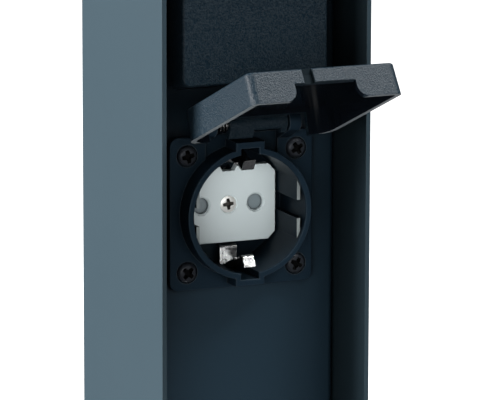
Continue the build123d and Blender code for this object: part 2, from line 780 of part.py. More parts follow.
def make_earth_strap(prefix, height):
    """One steel strip: a sprung clip at each side of the well, joined behind the body."""
    root_plate = floor_front + earth_strip / 2 + 0.3
    bridge = rear_back + earth_strip / 2 + earth_saddle_gap
    half = [
        (earth_tip_inward, earth_tip_place),
        (earth_crest_inward, earth_crest_place),
        (root_plate, earth_wall_leg),
        (root_plate, earth_root),
        (bridge, earth_root),
    ]
    route = [(0, flange_front_y + inward, height + up) for inward, up in half]
    route += [(0, flange_front_y + inward, height - up) for inward, up in reversed(half)]
    saddle_y = flange_front_y + bridge + earth_strip / 2
    with BuildPart() as strap:
        with BuildLine() as strip_path:
            FilletPolyline(*route, radius=earth_bend)
        start = strip_path.line @ 0
        with BuildSketch(Plane(origin=start, x_dir=(1, 0, 0), z_dir=strip_path.line % 0)):
            Rectangle(earth_strip_width, earth_strip)
        sweep(path=strip_path.line)
        with BuildSketch(face_plane(height, earth_narrow_inward)):
            with GridLocations(earth_tip_width + earth_strip_width, 0, 2, 1):
                Rectangle(earth_strip_width, 2 * well_radius)
        extrude(amount=collar_height, mode=Mode.SUBTRACT)
        with BuildSketch(Plane.XZ.offset(-saddle_y + earth_strip / 2)):
            with Locations((0, height)):
                Rectangle(earth_saddle, earth_saddle)
        extrude(amount=-earth_strip / 2 - earth_saddle_length)
        with BuildSketch(Plane.XY.offset(height)):
            with Locations((0, earth_wire_y)):
                Circle(wire_radius + wire_hole_gap)
        extrude(amount=earth_saddle, both=True, mode=Mode.SUBTRACT)
    save(strap, f"{prefix}_earth_strap")


def make_fixings(prefix, height):
    """Four pan-head screws through flange, gasket and panel, each with its nut."""
    half = fixing_spacing / 2
    places = [
        Plane(origin=(x, flange_front_y + head_recess_depth, height + z), x_dir=(1, 0, 0), z_dir=(0, -1, 0))
        for x in (-half, half) for z in (-half, half)
    ]
    stack = flange_thickness - head_recess_depth + gasket_thickness + panel_wall
    pan_screws(f"{prefix}_flange_screws", places, stack + nut_height + screw_tip)
    with BuildPart() as nuts:
        with BuildSketch(face_plane(height, flange_thickness + gasket_thickness + panel_wall)):
            with GridLocations(fixing_spacing, fixing_spacing, 2, 2):
                RegularPolygon(nut_across_flats / 2, 6, major_radius=False)
                Circle(m4_radius + pin_seat_gap, mode=Mode.SUBTRACT)
        extrude(amount=-nut_height)
    save(nuts, f"{prefix}_flange_nuts")


def make_hinge_pin(prefix, height):
    """Steel pin through both ears and the lid's barrel."""
    half_length = ear_inner + ear_thickness
    with BuildPart() as pin:
        with BuildSketch(across(hinge_plane(height, 0.0), 0)):
            Circle(hinge_pin_radius)
        extrude(amount=half_length, both=True)
        chamfer(pin.edges().filter_by(GeomType.CIRCLE), 0.2)
    save(pin, f"{prefix}_hinge_pin")


def helix_point(centre, axis, side, radius, pitch, turn):
    """Point and unit tangent of a helix about an axis, after a number of turns."""
    up = axis.cross(side)
    angle = 2 * pi * turn
    point = centre + axis * (pitch * turn) + side * (radius * cos(angle)) + up * (radius * sin(angle))
    tangent = side * (-radius * sin(angle)) + up * (radius * cos(angle)) + axis * (pitch / (2 * pi))
    return point, tangent.normalized()


def coil_wire(centre, axis, side, radius, pitch, turns, leg_in, leg_out):
    """Wire of a coil: each quarter turn is two arcs that meet with one tangent."""
    first, first_tangent = helix_point(centre, axis, side, radius, pitch, 0.0)
    with BuildLine() as path:
        if leg_in:
            Line(first - first_tangent * leg_in, first)
        for quarter in range(round(turns * 4)):
            p0, t0 = helix_point(centre, axis, side, radius, pitch, quarter / 4)
            p1, t1 = helix_point(centre, axis, side, radius, pitch, (quarter + 1) / 4)
            chord = p1 - p0
            along = chord.dot(t0 + t1)
            spread = 2 * (1 - t0.dot(t1))
            reach = (-along + sqrt(along * along + spread * chord.dot(chord))) / spread
            middle = (p0 + t0 * reach + p1 - t1 * reach) * 0.5
            first_arc = TangentArc(p0, middle, tangent=t0)
            TangentArc(middle, p1, tangent=first_arc % 1)
        last, last_tangent = helix_point(centre, axis, side, radius, pitch, turns)
        if leg_out:
            Line(last, last + last_tangent * leg_out)
    return path.line


def least_coil_gap(centre, axis, side, radius, pitch, turns, wire):
    """Least gap between the turns of a coil, measured on points along its centre line."""
    steps = 48
    points = [
        helix_point(centre, axis, side, radius, pitch, step / steps)[0]
        for step in range(round(turns * steps) + 1)
    ]
    apart = round(0.6 * steps)
    return min(
        (points[j] - points[i]).length
        for i in range(len(points)) for j in range(i + apart, len(points))
    ) - wire


def sweep_wire(path, radius):
    """Round wire of one radius along a path."""
    with BuildPart() as wire:
        with BuildSketch(Plane(origin=path @ 0, z_dir=path % 0)):
            Circle(radius)
        sweep(path=path)
    return wire


def make_lid_spring(prefix, height):
    """Torsion spring on the hinge pin, beside the barrel, one leg on the pocket's floor."""
    hinge = hinge_plane(height, 0.0)
    centre = point_on(hinge, -ear_inner + spring_wire / 2 + spring_from_ear, 0)
    leg_lean = cos(radians(spring_leg_angle))
    leg_rise = sin(radians(spring_leg_angle))
    side = Vector(0, leg_lean, leg_rise)
    axis = Vector(1, 0, 0)
    coil = (centre, axis, side, spring_coil_radius, spring_pitch, spring_turns)
    pocket_reach = hinge_out + hinge_pocket_depth - leg_lean * spring_coil_radius
    leg_in = (pocket_reach - spring_wire) / leg_rise
    spring = sweep_wire(coil_wire(*coil, leg_in, spring_free_leg), spring_wire / 2)
    print(prefix, "lid spring, least gap between turns", round(least_coil_gap(*coil, spring_wire), 3))
    save(spring, f"{prefix}_lid_spring")


def make_shutter_spring(prefix, height):
    """Small compression spring between the shutter's lug and the top of its slot."""
    inward = floor_front + insert_thickness + shutter_spring_radius + shutter_spring_wire / 2 + 0.1
    bottom = shutter_cover + shutter_lug_height + shutter_spring_wire / 2 + 0.1
    length = rear_slot_top - bottom - shutter_spring_wire / 2 - 0.1
    centre = Vector(0, flange_front_y + inward, height + bottom)
    coil = (centre, Vector(0, 0, 1), Vector(1, 0, 0), shutter_spring_radius,
            length / shutter_spring_turns, shutter_spring_turns)
    spring = sweep_wire(coil_wire(*coil, 0, 0), shutter_spring_wire / 2)
    print(prefix, "shutter spring, least gap", round(least_coil_gap(*coil, shutter_spring_wire), 3))
    save(spring, f"{prefix}_shutter_spring")


def make_lid(prefix, height, angle):
    """Drafted lid shell with hinge barrel, hinge-side notch and finger grip."""
    hinge = hinge_plane(height, angle)
    rim_z = lid_rim_gap - hinge_out
    face_z = rim_z + lid_height
    top_y = lid_top_above_centre - hinge_above
    free_y = top_y - lid_length
    roof_share = (lid_height - lid_roof) / lid_height
    outward = Axis((0, 0, 0), hinge.z_dir)

    def section(z, inset, share):
        """Rounded rectangle of the shell at one height, inset from its outer walls."""
        near = free_y + lid_front_slant * share + inset
        far = top_y - lid_side_draft * share - inset
        width = lid_width - 2 * lid_side_draft * share - 2 * inset
        with BuildSketch() as rounded:
            with Locations((0, (near + far) / 2)):
                Rectangle(width, far - near)
            fillet(rounded.vertices().group_by(Axis.Y)[-1], lid_hinge_corner - inset)
            fillet(rounded.vertices().group_by(Axis.Y)[0], lid_corner - inset * 0.8)
        return hinge.offset(z) * rounded.sketch

    slant = Vector(hinge.y_dir * lid_front_slant + hinge.z_dir * lid_height)
    skirt_length = slant.length
    skirt = Plane(
        origin=point_on(hinge, 0, free_y, rim_z), x_dir=hinge.x_dir,
        z_dir=(hinge.y_dir * -lid_height + hinge.z_dir * lid_front_slant).normalized(),
    )
    groove_centre = grip_stripe_left - grip_groove_width / 2
    stripe_width = grip_stripe_right - grip_stripe_left
    stripe_centre = (grip_stripe_left + grip_stripe_right) / 2
    stripe_length = skirt_length - grip_cut_height - grip_stripe_short
    face_edge_y = free_y + lid_front_slant

    with BuildPart() as lid:
        loft([section(rim_z, 0, 0), section(face_z, 0, 1)])
        fillet(lid.faces().sort_by(outward)[-1].edges(), lid_edge_round)
        with BuildSketch(skirt):
            with Locations((stripe_centre, grip_cut_height)):
                Rectangle(stripe_width, stripe_length, align=(Align.CENTER, Align.MIN))
        extrude(amount=grip_stripe_proud)
        with BuildSketch(skirt):
            with Locations((groove_centre, grip_cut_height - 1)):
                Rectangle(grip_groove_width, skirt_length, align=(Align.CENTER, Align.MIN))
        extrude(amount=-grip_groove_depth, mode=Mode.SUBTRACT)
        with BuildSketch(hinge.offset(face_z)):
            with Locations((groove_centre, face_edge_y)):
                Rectangle(grip_groove_width, grip_groove_depth, align=(Align.CENTER, Align.MIN))
        extrude(amount=-lid_roof, mode=Mode.SUBTRACT)
        cavity = [section(rim_z, lid_wall, 0), section(face_z - lid_roof, lid_wall, roof_share)]
        loft(cavity, mode=Mode.SUBTRACT)
        with BuildSketch(skirt) as grip:
            half_top = grip_cut_top / 2
            half_rim = grip_cut_rim / 2
            flare = half_rim - half_top
            with BuildLine():
                Polyline(
                    (half_top, flare), (half_top, grip_cut_height),
                    (-half_top, grip_cut_height), (-half_top, flare),
                )
                RadiusArc((-half_top, flare), (-half_rim, 0), flare)
                Polyline((-half_rim, 0), (-half_rim, -2), (half_rim, -2), (half_rim, 0))
                RadiusArc((half_rim, 0), (half_top, flare), flare)
            make_face()
        extrude(amount=lid_wall * 1.5, both=True, mode=Mode.SUBTRACT)
        with BuildSketch(hinge.offset(rim_z)):
            with Locations((0, top_y - lid_wall / 2)):
                Rectangle(2 * hinge_wall_notch, lid_wall + 0.6)
        extrude(amount=lid_height - hinge_wall_left, mode=Mode.SUBTRACT)
        with BuildSketch(across(hinge, barrel_left)):
            Circle(barrel_radius)
            with Locations((top_y - lid_wall, barrel_radius + knuckle_web_proud)):
                Rectangle(lid_wall - top_y, knuckle_web, align=(Align.MIN, Align.MAX))
        extrude(amount=barrel_right - barrel_left)
        stop_angle = radians(lid_open_angle)
        lobes = (
            (barrel_left, stop_lobe_width, stop_lobe_radius),
            (barrel_right - knuckle_lobe_width, knuckle_lobe_width, knuckle_lobe_radius),
        )
        for lobe_start, lobe_width, lobe_radius in lobes:
            with BuildSketch(across(hinge, lobe_start)):
                Circle(barrel_radius)
                with Locations((-cos(stop_angle) * (lobe_radius - lobe_tip_radius),
                                -sin(stop_angle) * (lobe_radius - lobe_tip_radius))):
                    Circle(lobe_tip_radius)
                make_hull()
            extrude(amount=lobe_width)
        with BuildSketch(across(hinge, barrel_left)):
            Circle(hinge_pin_radius + pin_running_gap)
        extrude(amount=barrel_right - barrel_left, mode=Mode.SUBTRACT)
    save(lid, f"{prefix}_lid")


# Sockets: the same pieces at two heights
saddle_inward = rear_back + earth_strip + earth_saddle_gap
earth_wire_y = flange_front_y + saddle_inward + earth_saddle_length / 2 - 0.1

for prefix, height in socket_heights.items():
    make_housing(prefix, height)
    make_gasket(prefix, height)
    make_insert(prefix, height)
    make_insert_screw(prefix, height)
    make_shutter(prefix, height)
    make_shutter_spring(prefix, height)
    make_rear_body(prefix, height)
    make_contacts(prefix, height)
    make_earth_strap(prefix, height)
    make_fixings(prefix, height)
    make_hinge_pin(prefix, height)
    make_lid_spring(prefix, height)
    make_lid(prefix, height, lid_angles[prefix])


def wire_run(points):
    """Round wire along points, with arcs as large as the shorter runs allow."""
    corners = [Vector(*p) for p in points]
    radii = []
    for before, corner, after in zip(corners, corners[1:], corners[2:]):
        turn = radians((corner - before).get_angle(after - corner))
        shorter = min((corner - before).length, (after - corner).length)
        radii.append(0.45 * shorter / (sin(turn / 2) / cos(turn / 2)))
    print("wire radii", [round(r, 1) for r in radii])
    with BuildLine() as path:
        FilletPolyline(*points, radius=radii)
    return sweep_wire(path.line, wire_radius).part


# Wires from the terminal block to the lower socket, and on to the upper one
block_top = block_base_height + block_height
lower, upper = socket_heights["lower"], socket_heights["upper"]


def supply_and_link(x_block, x_clamp, clamp_y, bow):
    """The two wires of one pole: block to lower socket, lower to upper socket."""
    middle = (lower + upper) / 2
    low_start = [
        (x_block, block_wire_y, block_top - 6.0), (x_block, block_wire_y, block_top + 16.0),
        (x_clamp + bow, clamp_y + 2.0, lower - 42.0), (x_clamp, clamp_y, lower - 24.0),
        (x_clamp, clamp_y, lower - wire_into_clamp),
    ]
    link = [
        (x_clamp, clamp_y, lower + wire_into_clamp), (x_clamp, clamp_y, lower + 22.0),
        (x_clamp + bow, clamp_y + 2.5, middle), (x_clamp, clamp_y, upper - 22.0),
        (x_clamp, clamp_y, upper - wire_into_clamp),
    ]
    return [wire_run(low_start), wire_run(link)]


def save_group(name, solids):
    """Write several solids as one node."""
    with BuildPart() as group:
        for solid in solids:
            add(solid)
    save(group, name)


save_group("live_wires", supply_and_link(-block_pitch, -pin_spacing / 2, terminal_y, -2.0))
save_group("neutral_wires", supply_and_link(block_pitch, pin_spacing / 2, terminal_y, 2.0))

lug_y = back_inner_y - lug_offset - lug_thickness / 2
bonding = [
    (0, block_wire_y, block_base_height + 6.0), (0, block_wire_y, block_base_height - 8.0),
    (6.0, block_wire_y + 1.0, stud_height + 3.0), (earth_stud_x - lug_tail - 0.6, lug_y, stud_height),
]
earth = supply_and_link(0, 0, earth_wire_y, 1.5)
save_group("earth_wires", earth + [wire_run(bonding)])

with BuildPart() as lug:
    with BuildSketch(stud_plane.offset(lug_offset)):
        Circle(m4_radius * 2)
        with Locations((-lug_tail / 2, 0)):
            Rectangle(lug_tail, lug_tail_width)
        Circle(m4_radius + wire_hole_gap, mode=Mode.SUBTRACT)
    extrude(amount=lug_thickness)
save(lug, "earth_lug")
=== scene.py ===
import json
from math import cos, pi, radians, sin

import bmesh
import bpy
from mathutils import Matrix, Vector


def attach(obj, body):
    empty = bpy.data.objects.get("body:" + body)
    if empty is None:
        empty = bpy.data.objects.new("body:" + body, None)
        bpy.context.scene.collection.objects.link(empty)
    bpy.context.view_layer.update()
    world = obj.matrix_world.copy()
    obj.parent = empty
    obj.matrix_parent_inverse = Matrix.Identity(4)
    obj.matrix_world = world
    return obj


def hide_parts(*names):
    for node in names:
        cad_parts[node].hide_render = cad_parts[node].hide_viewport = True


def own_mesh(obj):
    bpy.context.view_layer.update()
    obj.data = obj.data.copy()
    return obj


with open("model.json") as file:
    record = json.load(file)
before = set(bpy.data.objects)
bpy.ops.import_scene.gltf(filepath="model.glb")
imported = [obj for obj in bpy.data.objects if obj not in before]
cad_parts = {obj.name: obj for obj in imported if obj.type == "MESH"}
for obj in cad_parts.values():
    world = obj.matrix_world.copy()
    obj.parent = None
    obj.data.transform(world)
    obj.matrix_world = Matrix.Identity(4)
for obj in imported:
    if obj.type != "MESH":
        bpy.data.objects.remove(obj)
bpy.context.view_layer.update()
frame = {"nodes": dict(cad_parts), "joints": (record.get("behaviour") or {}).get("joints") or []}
print("frame loaded,", len(frame["nodes"]), "nodes")

scene = bpy.context.scene
scene.view_settings.view_transform = "Standard"
levels = ("lower", "upper")


# Camera, lamps and floor

cameraSetup = {
    "place": (-0.5543, -1.2778, 0.4295),
    "yaw": 23.80,           # degrees to the right of the post's depth
    "pitch": 11.32,         # degrees below level
    "roll": 0.14,
    "focalPixels": 4384.0,
    "imageWidth": 500,
    "sensorWidth": 36.0,
    "shift": (0.0, 0.0),
    "clip": (0.05, 60.0),
}

lampAim = (0, 0, 0.15)
lampSetup = {
    # name: place, width, height, watts, colour
    "sideSoftbox": ((-2.3, 0.5, 0.55), 1.8, 1.4, 440, (1.0, 0.97, 0.96)),
    "topSoftbox": ((0.9, -0.6, 2.1), 1.2, 1.2, 225, (1.0, 1.0, 1.0)),
    "lowStrip": ((-1.4, -2.0, 0.35), 1.4, 0.7, 36, (1.0, 1.0, 1.0)),
    "frontCard": ((0.3, -2.6, 0.5), 1.3, 0.9, 13, (1.0, 1.0, 1.0)),
}

worldSetup = {"colour": (1, 1, 1, 1), "seen": 1.0, "light": 0.05}

floorSetup = {
    "size": 14.0,
    "drop": 0.0004,                     # below the foot
    "colour": (0.30, 0.30, 0.30),
    "colourInGloss": (0.03, 0.03, 0.032),
    "roughness": 0.9,
    "glow": 0.5,                        # as the camera sees it
    "mirroredGlow": 0.03,               # as glossy surfaces see it
}


def newTree(owner):
    owner.use_nodes = True
    owner.node_tree.nodes.clear()
    return owner.node_tree


def addNode(tree, kind, **values):
    node = tree.nodes.new(kind)
    for key, value in values.items():
        setattr(node, key, value)
    return node


def mathNode(tree, operation, first, second, third=None, clamp=False):
    # Each operand is a number or a socket
    node = addNode(tree, "ShaderNodeMath", operation=operation, use_clamp=clamp)
    for index, value in enumerate((first, second, third)):
        if isinstance(value, (int, float)):
            node.inputs[index].default_value = value
        elif value is not None:
            tree.links.new(value, node.inputs[index])
    return node.outputs[0]


def mixColour(tree, factor, first, second):
    # Each colour is a tuple or a socket
    mix = addNode(tree, "ShaderNodeMix", data_type="RGBA")
    tree.links.new(factor, mix.inputs["Factor"])
    for label, value in (("A", first), ("B", second)):
        if isinstance(value, tuple):
            mix.inputs[label].default_value = (*value, 1)
        else:
            tree.links.new(value, mix.inputs[label])
    return mix.outputs["Result"]


def makeCamera(setup):
    data = bpy.data.cameras.new("camera")
    data.sensor_width = setup["sensorWidth"]
    data.lens = setup["focalPixels"] * data.sensor_width / setup["imageWidth"]
    data.shift_x, data.shift_y = setup["shift"]
    data.clip_start, data.clip_end = setup["clip"]
    camera = bpy.data.objects.new("camera", data)
    camera.location = setup["place"]
    yaw = Matrix.Rotation(radians(-setup["yaw"]), 4, "Z")
    pitch = Matrix.Rotation(radians(90 - setup["pitch"]), 4, "X")
    roll = Matrix.Rotation(radians(setup["roll"]), 4, "Z")
    camera.rotation_euler = (yaw @ pitch @ roll).to_euler()
    scene.collection.objects.link(camera)
    scene.camera = camera


def makeLamp(name, place, width, height, watts, colour):
    data = bpy.data.lights.new(name, "AREA")
    data.shape = "RECTANGLE"
    data.size, data.size_y = width, height
    data.energy = watts
    data.color = colour
    lamp = bpy.data.objects.new(name, data)
    lamp.location = place
    lamp.rotation_euler = (Vector(lampAim) - Vector(place)).to_track_quat("-Z", "Y").to_euler()
    lamp.visible_camera = False
    scene.collection.objects.link(lamp)


def makeWorld(setup):
    # White where the camera sees it, and only a faint light on the part
    world = bpy.data.worlds.new("studio")
    scene.world = world
    tree = newTree(world)
    rays = addNode(tree, "ShaderNodeLightPath")
    strength = addNode(tree, "ShaderNodeMapRange")
    back = addNode(tree, "ShaderNodeBackground")
    out = addNode(tree, "ShaderNodeOutputWorld")
    strength.inputs["To Min"].default_value = setup["light"]
    strength.inputs["To Max"].default_value = setup["seen"]
    back.inputs["Color"].default_value = setup["colour"]
    tree.links.new(rays.outputs["Is Camera Ray"], strength.inputs["Value"])
    tree.links.new(strength.outputs["Result"], back.inputs["Strength"])
    tree.links.new(back.outputs[0], out.inputs[0])


def makeFloor(setup):
    # Pale to the camera and dark in reflections, so the part keeps its own contrast
    mesh = bpy.data.meshes.new("floor")
    shape = bmesh.new()
    bmesh.ops.create_grid(shape, x_segments=1, y_segments=1, size=setup["size"] / 2)
    shape.to_mesh(mesh)
    shape.free()
    floor = bpy.data.objects.new("floor", mesh)
    floor.location = (0, 0, -setup["drop"])
    scene.collection.objects.link(floor)
    material = bpy.data.materials.new("paleFloor")
    tree = newTree(material)
    rays = addNode(tree, "ShaderNodeLightPath").outputs
    surface = addNode(tree, "ShaderNodeBsdfPrincipled")
    out = addNode(tree, "ShaderNodeOutputMaterial")
    surface.inputs["Roughness"].default_value = setup["roughness"]
    surface.inputs["Specular IOR Level"].default_value = 0.0
    surface.inputs["Emission Color"].default_value = (1, 1, 1, 1)
    colour = mixColour(tree, rays["Is Glossy Ray"], setup["colour"], setup["colourInGloss"])
    seen = mathNode(tree, "MULTIPLY", rays["Is Camera Ray"], setup["glow"])
    mirrored = mathNode(tree, "MULTIPLY", rays["Is Glossy Ray"], setup["mirroredGlow"])
    glow = mathNode(tree, "MAXIMUM", seen, mirrored)
    tree.links.new(colour, surface.inputs["Base Color"])
    tree.links.new(glow, surface.inputs["Emission Strength"])
    tree.links.new(surface.outputs[0], out.inputs[0])
    mesh.materials.append(material)


makeCamera(cameraSetup)
for lampName, lampValues in lampSetup.items():
    makeLamp(lampName, *lampValues)
makeWorld(worldSetup)
makeFloor(floorSetup)
print("camera, lamps and floor placed")


# Shared shader groups; each noise setting is its detail and its roughness

def startGroup(name, inputs, outputs):
    group = bpy.data.node_groups.new(name, "ShaderNodeTree")
    for label, value in inputs.items():
        socket = group.interface.new_socket(label, in_out="INPUT", socket_type="NodeSocketFloat")
        socket.default_value = value
    for label in outputs:
        group.interface.new_socket(label, in_out="OUTPUT", socket_type="NodeSocketFloat")
    start = addNode(group, "NodeGroupInput").outputs
    return group, start, addNode(group, "NodeGroupOutput").inputs


def objectPlace(group):
    return addNode(group, "ShaderNodeTexCoord").outputs["Object"]


def noiseNode(tree, place, scale, detail, rough):
    noise = addNode(tree, "ShaderNodeTexNoise")
    tree.links.new(place, noise.inputs["Vector"])
    if isinstance(scale, float):
        noise.inputs["Scale"].default_value = scale
    else:
        tree.links.new(scale, noise.inputs["Scale"])
    noise.inputs["Detail"].default_value = detail
    noise.inputs["Roughness"].default_value = rough
    return noise.outputs["Fac"]


grainSetup = {
    "fine": (3.0, 0.55), "coarse": (2.0, 0.5), "tone": (2.0, 0.5),
    "coarseScale": 0.27, "toneScale": 0.01,     # shares of the fine noise's scale
    "fleckGain": 3.4, "fleckOffset": -1.2,
}


def makeGrainGroup(setup):
    # Fine bumps of a coat or a moulded skin, two octaves; Size is in metres
    group, start, end = startGroup("surfaceGrain", {"Size": 0.0006, "Coarse Share": 0.4},
                                   ("Height", "Tone", "Flecks"))
    place = objectPlace(group)
    scale = mathNode(group, "DIVIDE", 1.0, start["Size"])
    coarseScale = mathNode(group, "MULTIPLY", scale, setup["coarseScale"])
    toneScale = mathNode(group, "MULTIPLY", scale, setup["toneScale"])
    fine = noiseNode(group, place, scale, *setup["fine"])
    coarse = noiseNode(group, place, coarseScale, *setup["coarse"])
    tone = noiseNode(group, place, toneScale, *setup["tone"])
    coarsePart = mathNode(group, "MULTIPLY", coarse, start["Coarse Share"])
    flecks = mathNode(group, "MULTIPLY_ADD", fine, setup["fleckGain"], setup["fleckOffset"],
                      clamp=True)
    group.links.new(mathNode(group, "ADD", fine, coarsePart), end["Height"])
    group.links.new(tone, end["Tone"])
    group.links.new(flecks, end["Flecks"])
    return group


# painted edge highlight: its samples, its gain, and the noise that breaks its outline
edgeHighlightSetup = {"samples": 4, "gain": 8.0, "breakScale": 900.0, "breakNoise": (2.0, 0.6)}


def makeEdgeHighlightGroup(setup):
    # Mask of the painted highlight: the outer and inner edges within a radius, with a broken
    # outline
    group, start, end = startGroup("edgeCatch", {"Radius": 0.0004, "Amount": 1.0}, ("Mask",))
    bevel = addNode(group, "ShaderNodeBevel", samples=setup["samples"])
    geometry = addNode(group, "ShaderNodeNewGeometry")
    dot = addNode(group, "ShaderNodeVectorMath", operation="DOT_PRODUCT")
    group.links.new(start["Radius"], bevel.inputs["Radius"])
    group.links.new(bevel.outputs[0], dot.inputs[0])
    group.links.new(geometry.outputs["Normal"], dot.inputs[1])
    away = mathNode(group, "SUBTRACT", 1.0, dot.outputs["Value"], clamp=True)
    broken = noiseNode(group, objectPlace(group), setup["breakScale"], *setup["breakNoise"])
    gain = mathNode(group, "MULTIPLY", broken, setup["gain"])
    near = mathNode(group, "MULTIPLY", away, gain, clamp=True)
    group.links.new(mathNode(group, "MULTIPLY", near, start["Amount"], clamp=True), end["Mask"])
    return group


driftNoise = (4.0, 0.6)


def makeDriftGroup(noise):
    # Roughness that drifts between two values in soft patches; Patch is in metres
    group, start, end = startGroup("roughnessDrift", {"Low": 0.35, "High": 0.5, "Patch": 0.03},
                                   ("Roughness",))
    scale = mathNode(group, "DIVIDE", 1.0, start["Patch"])
    patches = noiseNode(group, objectPlace(group), scale, *noise)
    spread = mathNode(group, "SUBTRACT", start["High"], start["Low"])
    value = mathNode(group, "MULTIPLY_ADD", patches, spread, start["Low"])
    group.links.new(value, end["Roughness"])
    return group


paintedShadeSetup = {"samples": 8, "openFrom": 0.75, "deepFrom": 0.30}


def makePaintedShadeGroup(setup):
    # Mask of the painted shade: what lies deep in a corner or a hollow, within a reach
    group, start, end = startGroup("hollowShade", {"Reach": 0.03, "Amount": 0.8}, ("Mask",))
    sky = addNode(group, "ShaderNodeAmbientOcclusion", samples=setup["samples"])
    deep = addNode(group, "ShaderNodeMapRange", interpolation_type="SMOOTHSTEP")
    deep.inputs["From Min"].default_value = setup["openFrom"]
    deep.inputs["From Max"].default_value = setup["deepFrom"]
    group.links.new(start["Reach"], sky.inputs["Distance"])
    group.links.new(sky.outputs["AO"], deep.inputs["Value"])
    mask = mathNode(group, "MULTIPLY", deep.outputs["Result"], start["Amount"])
    group.links.new(mask, end["Mask"])
    return group


groups = {
    "grain": makeGrainGroup(grainSetup),
    "edge": makeEdgeHighlightGroup(edgeHighlightSetup),
    "drift": makeDriftGroup(driftNoise),
    "paintedShade": makePaintedShadeGroup(paintedShadeSetup),
}


# Materials

finishDefaults = {
    "metallic": 0.0, "specular": 0.5, "specularTint": (1, 1, 1),
    "coarseShare": 0.4, "patch": 0.02,
    # the share of the colour that is left where shade is painted
    "paintedShadeDark": 0.12, "roundSamples": 6,
}


def placeGroup(tree, name, values):
    node = addNode(tree, "ShaderNodeGroup", node_tree=groups[name])
    for key, value in values.items():
        node.inputs[key].default_value = value
    return node.outputs


def makeFinish(name, settings):
    # One moulded, coated or metal finish from a settings dictionary, with a painted edge highlight
    # and painted shade where they are given
    finish = {**finishDefaults, **settings}
    material = bpy.data.materials.new(name)
    tree = newTree(material)
    surface = addNode(tree, "ShaderNodeBsdfPrincipled")
    out = addNode(tree, "ShaderNodeOutputMaterial")
    tree.links.new(surface.outputs[0], out.inputs[0])
    surface.inputs["Metallic"].default_value = finish["metallic"]
    surface.inputs["Specular IOR Level"].default_value = finish["specular"]
    surface.inputs["Specular Tint"].default_value = (*finish["specularTint"], 1)

    low, high = finish["roughness"]
    grain = placeGroup(tree, "grain", {"Size": finish["grainSize"],
                                       "Coarse Share": finish["coarseShare"]})
    drift = placeGroup(tree, "drift", {"Low": low, "High": high, "Patch": finish["patch"]})
    tree.links.new(drift["Roughness"], surface.inputs["Roughness"])

    colour = mixColour(tree, grain["Tone"], finish["colour"], finish["shade"])
    if "fleck" in finish:
        colour = mixColour(tree, grain["Flecks"], colour, finish["fleck"])
    # Painted highlight: a lighter colour along the edges, where light would catch them
    if "edge" in finish:
        highlightColour, radius, amount = finish["edge"]
        edge = placeGroup(tree, "edge", {"Radius": radius, "Amount": amount})
        colour = mixColour(tree, edge["Mask"], colour, highlightColour)
    # Painted shade: the colour darkens to a share of itself deep in corners and hollows
    if "paintedShade" in finish:
        reach, amount = finish["paintedShade"]
        paintedShade = placeGroup(tree, "paintedShade", {"Reach": reach, "Amount": amount})
        dark = tuple(finish["paintedShadeDark"] * c for c in finish["colour"])
        colour = mixColour(tree, paintedShade["Mask"], colour, dark)
    tree.links.new(colour, surface.inputs["Base Color"])

    bump = addNode(tree, "ShaderNodeBump")
    strength, depth = finish["bump"]
    bump.inputs["Strength"].default_value = strength
    bump.inputs["Distance"].default_value = depth
    tree.links.new(grain["Height"], bump.inputs["Height"])
    if "round" in finish:
        bevel = addNode(tree, "ShaderNodeBevel", samples=finish["roundSamples"])
        bevel.inputs["Radius"].default_value = finish["round"]
        tree.links.new(bevel.outputs[0], bump.inputs["Normal"])
    tree.links.new(bump.outputs[0], surface.inputs["Normal"])
    return material


